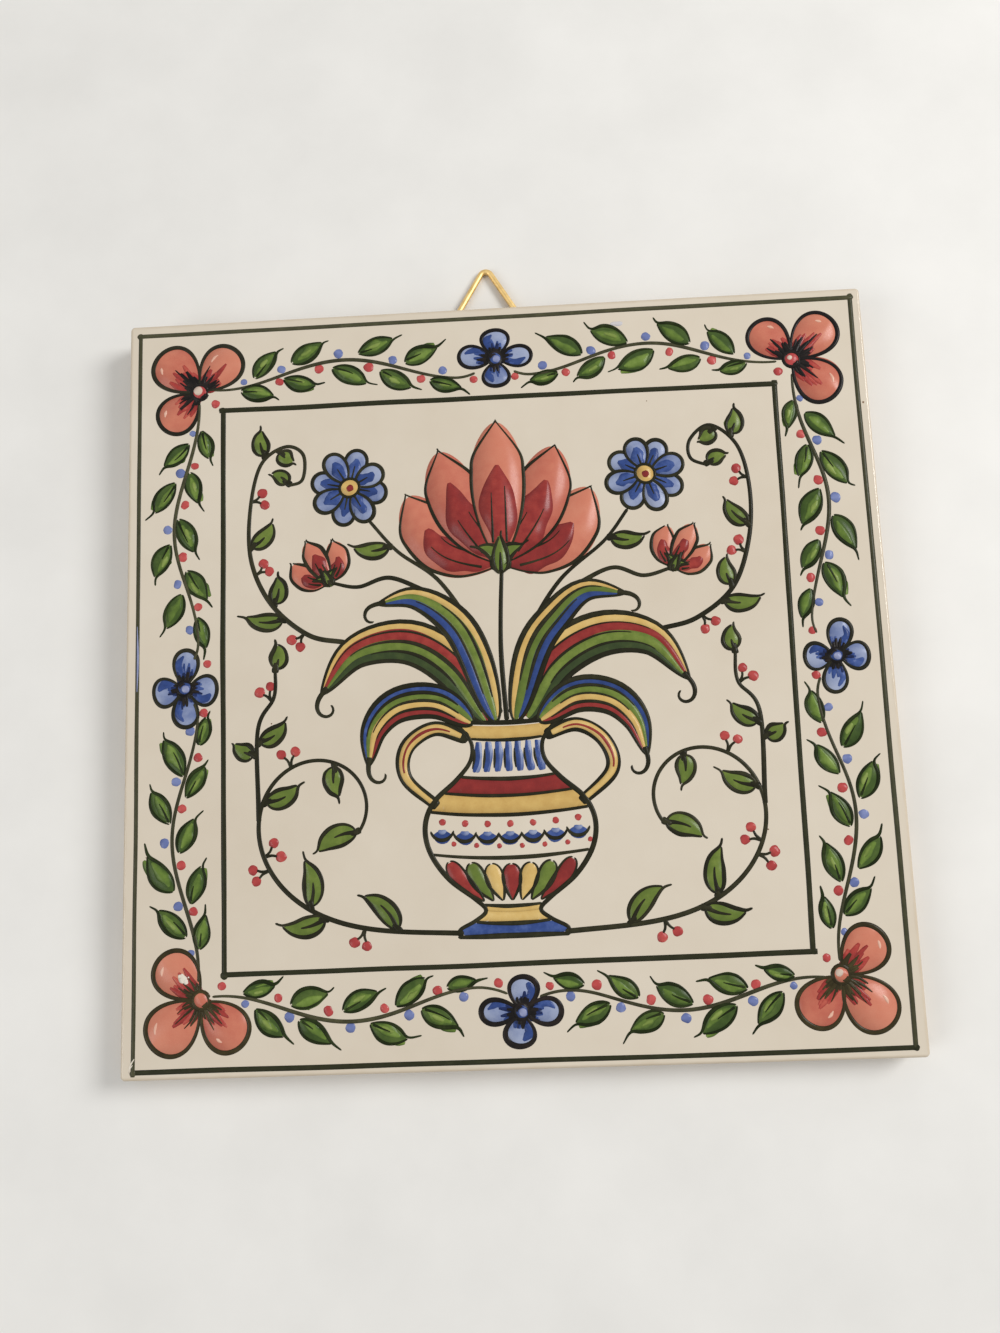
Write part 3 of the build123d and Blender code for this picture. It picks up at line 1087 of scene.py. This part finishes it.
def plated_steel():
    """Zinc-plated strip with a fine grain and a soft bloom."""
    finish = Finish("zinc_plated_strip", 0.42, Metallic=1.0)
    bloom = finish.noise(500.0, 4.0)
    grain = finish.noise(2600.0, 3.0)
    zinc = finish.ramp(bloom, (0.3, (150, 150, 146)), (0.55, (178, 178, 174)), (0.8, (200, 199, 192)))
    finish.colour(zinc)
    finish.roughness(finish.span(grain, 0.3, 0.7, 0.32, 0.54))
    finish.bump(grain, 0.2, 0.00003)
    return finish.material


def pale_floor():
    """A plain pale table top, faintly mottled."""
    finish = Finish("pale_floor", 0.6)
    mottle = finish.noise(40.0, 4.0)
    finish.colour(finish.ramp(mottle, (0.3, (226, 224, 219)), (0.7, (233, 231, 226))))
    return finish.material


# Each coat's material, and its colour where it is thinnest, as laid and where it is deepest
paint_colours = {
    "frame_line": ("olive_black_line", (66, 66, 46), (47, 48, 32), (34, 35, 23)),
    "outer_line": ("olive_frame_line", (92, 90, 66), (72, 71, 51), (54, 54, 38)),
    "olive_line": ("olive_brown_line", (78, 70, 42), (58, 51, 30), (40, 34, 20)),
    "vine": ("olive_black_vine", (84, 82, 58), (62, 61, 43), (42, 43, 29)),
    "leaf_edge": ("green_black_edge", (52, 62, 32), (34, 42, 20), (23, 29, 14)),
    "flower_edge": ("black_petal_edge", (56, 53, 38), (38, 37, 27), (25, 25, 19)),
    "flower_line": ("black_petal_line", (48, 40, 36), (30, 27, 26), (20, 18, 18)),
    "leaf_body": ("dark_leaf_green", (88, 106, 52), (66, 86, 39), (46, 64, 29)),
    "leaf_light": ("light_leaf_green", (126, 148, 74), (102, 125, 55), (66, 87, 38)),
    "leaf_bright": ("bright_leaf_green", (146, 161, 92), (126, 144, 72), (98, 118, 54)),
    "coral": ("coral", (208, 138, 113), (200, 122, 98), (172, 78, 66)),
    "coral_light": ("coral_light", (232, 196, 176), (224, 176, 154), (212, 154, 130)),
    "coral_deep": ("coral_deep", (190, 98, 80), (164, 60, 54), (122, 38, 36)),
    "lavender": ("lavender", (162, 170, 192), (147, 157, 184), (80, 98, 148)),
    "blue_deep": ("deep_blue", (82, 102, 156), (53, 74, 130), (38, 54, 98)),
    "navy": ("navy", (46, 60, 108), (32, 44, 84), (24, 32, 60)),
    "dots_blue": ("blue_dots", (130, 140, 182), (107, 119, 166), (88, 101, 152)),
    "dots_red": ("red_dots", (200, 100, 94), (181, 72, 70), (158, 54, 56)),
    "haze": ("blue_haze", (176, 178, 190), (146, 152, 184), (120, 128, 170)),
    "faint_haze": ("faint_blue_haze", (212, 204, 196), (204, 199, 198), (190, 190, 198)),
    # The pale coat of the corner scratch and of a small near-white patch in a petal
    "bare": ("near_white_glaze", (232, 224, 210), (224, 214, 198), (210, 198, 180)),
    "speck": ("brown_speck", (140, 110, 82), (112, 84, 60), (84, 62, 44)),
    "bead_pale": ("pale_bead", (222, 208, 192), (210, 194, 176), (196, 170, 156)),
    "bold_line": ("olive_black_brush", (60, 58, 40), (41, 40, 27), (27, 26, 18)),
    "leaf_flat": ("flat_leaf_green", (120, 136, 62), (98, 116, 48), (80, 98, 40)),
    "dark_green": ("dark_green", (70, 84, 42), (52, 66, 34), (40, 52, 28)),
    "yellow": ("warm_yellow", (216, 186, 122), (206, 172, 103), (190, 152, 86)),
    "dark_red": ("dark_red", (160, 62, 54), (138, 46, 43), (112, 35, 35)),
    "berries": ("berry_red", (192, 88, 80), (172, 66, 64), (146, 48, 50)),
}

# What sets a coat apart from the usual: its clouds, the pool at its edges, its foot and its gloss
paint_looks = {
    "frame_line": dict(uneven=0.3, gloss=0.08),
    "outer_line": dict(uneven=0.4, gloss=0.1),
    "olive_line": dict(gloss=0.1),
    "vine": dict(gloss=0.08),
    "leaf_edge": dict(gloss=0.06),
    "flower_edge": dict(uneven=0.3, gloss=0.08),
    "flower_line": dict(gloss=0.08),
    "leaf_body": dict(gloss=0.12),
    "leaf_light": dict(pool=0.55, gloss=0.12),
    "leaf_bright": dict(pool=0.75, gloss=0.12),
    "coral": dict(uneven=0.2, pool=0.06, foot=0.2),
    "coral_deep": dict(foot=0.35),
    "lavender": dict(uneven=0.3, foot=0.3),
    "blue_deep": dict(pool=0.0, gloss=0.12),
    "navy": dict(gloss=0.1),
    "bold_line": dict(uneven=0.35, gloss=0.08),
}


def dress(node, material):
    """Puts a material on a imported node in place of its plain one."""
    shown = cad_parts[node]
    shown.data.materials.clear()
    shown.data.materials.append(material)


def show_coats():
    """Makes one piece of each coat's marks, riding on the tile, in the coat's own colour."""
    finishes = {}
    for coat, paint in paint_colours.items():
        finishes[coat] = painted(*paint, **paint_looks.get(coat, {}))
    for name in coats:
        piece = bpy.data.objects.new("painted_" + name, coat_mesh(name))
        bpy.context.scene.collection.objects.link(piece)
        piece.data.materials.append(finishes[name])
        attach(piece, "tile")


# Floor, lights and camera

# The floor's half side, and the hair's breadth that it lies under the tile
floor_reach = 3.0
floor_gap = 0.00006


def lay_floor():
    """A flat quad that touches the tile's low rim and the strap's round eye, as the level floor
    under a tile at rest does: it falls from the one to the other by the eye's depth over the run
    between them."""
    eye_radius = -strap_low.z / 2
    run = strap_high.y - eye_radius - tile_low.y
    slope = atan2(-strap_low.z, run)
    corners = [(x * floor_reach, y * floor_reach) for x, y in ((-1, -1), (1, -1), (1, 1), (-1, 1))]
    points = [(x, y * cos(slope) + tile_low.y, -floor_gap - y * sin(slope)) for x, y in corners]
    mesh = bpy.data.meshes.new("floor")
    mesh.from_pydata(points, [], [(0, 1, 2, 3)])
    floor = bpy.data.objects.new("floor", mesh)
    bpy.context.scene.collection.objects.link(floor)
    mesh.materials.append(pale_floor())


def soft_light(name, place, size, watts):
    """A round area light turned to face the tile's middle."""
    lamp = bpy.data.lights.new(name, "AREA")
    lamp.shape = "DISK"
    lamp.size = size
    lamp.energy = watts
    body = bpy.data.objects.new(name, lamp)
    body.location = place
    body.rotation_euler = (-Vector(place)).to_track_quat("-Z", "Y").to_euler()
    bpy.context.scene.collection.objects.link(body)


def pale_room(lit, seen):
    """Even light from all round, of one strength where it lights a surface and another where it is
    seen, straight or in a gloss."""
    world = bpy.data.worlds.new("room")
    bpy.context.scene.world = world
    world.use_nodes = True
    nodes, links = world.node_tree.nodes, world.node_tree.links
    ray = nodes.new("ShaderNodeLightPath")
    straight = nodes.new("ShaderNodeMath")
    straight.operation = "MAXIMUM"
    links.new(ray.outputs["Is Camera Ray"], straight.inputs[0])
    links.new(ray.outputs["Is Glossy Ray"], straight.inputs[1])
    strength = nodes.new("ShaderNodeMapRange")
    links.new(straight.outputs[0], strength.inputs["Value"])
    strength.inputs["To Min"].default_value = lit
    strength.inputs["To Max"].default_value = seen
    nodes["Background"].inputs["Color"].default_value = (1.0, 1.0, 1.0, 1.0)
    links.new(strength.outputs["Result"], nodes["Background"].inputs["Strength"])


def light_room():
    """A bright light from the right, a weaker one from the left and an even room."""
    soft_light("key", (0.75, 0.3, 0.62), size=0.45, watts=7.2)
    soft_light("fill", (-0.75, -0.25, 0.6), size=0.6, watts=2.7)
    pale_room(lit=0.45, seen=0.82)


def place_camera():
    """The photograph's own viewpoint: over the tile, a little low and to the right, slightly turned."""
    lens = bpy.data.cameras.new("camera")
    lens.sensor_width = 36.0
    lens.lens = 27.65
    lens.clip_start = 0.01
    camera = bpy.data.objects.new("camera", lens)
    place_mm = (5.69, -28.14, 197.67)
    turn_degrees = (8.134, 2.210, -2.171)
    camera.location = (place_mm[0] * MM, place_mm[1] * MM, face_height + place_mm[2] * MM)
    camera.rotation_euler = [radians(angle) for angle in turn_degrees]
    bpy.context.scene.collection.objects.link(camera)
    bpy.context.scene.camera = camera


paint_border()
wear_and_pale_patch()
paint_middle()
dress("tile", glazed_clay())
dress("hanger_ring", drawn_brass())
dress("hanger_strap", plated_steel())
show_coats()
lay_floor()
light_room()
place_camera()
bpy.context.scene.view_settings.view_transform = "Standard"
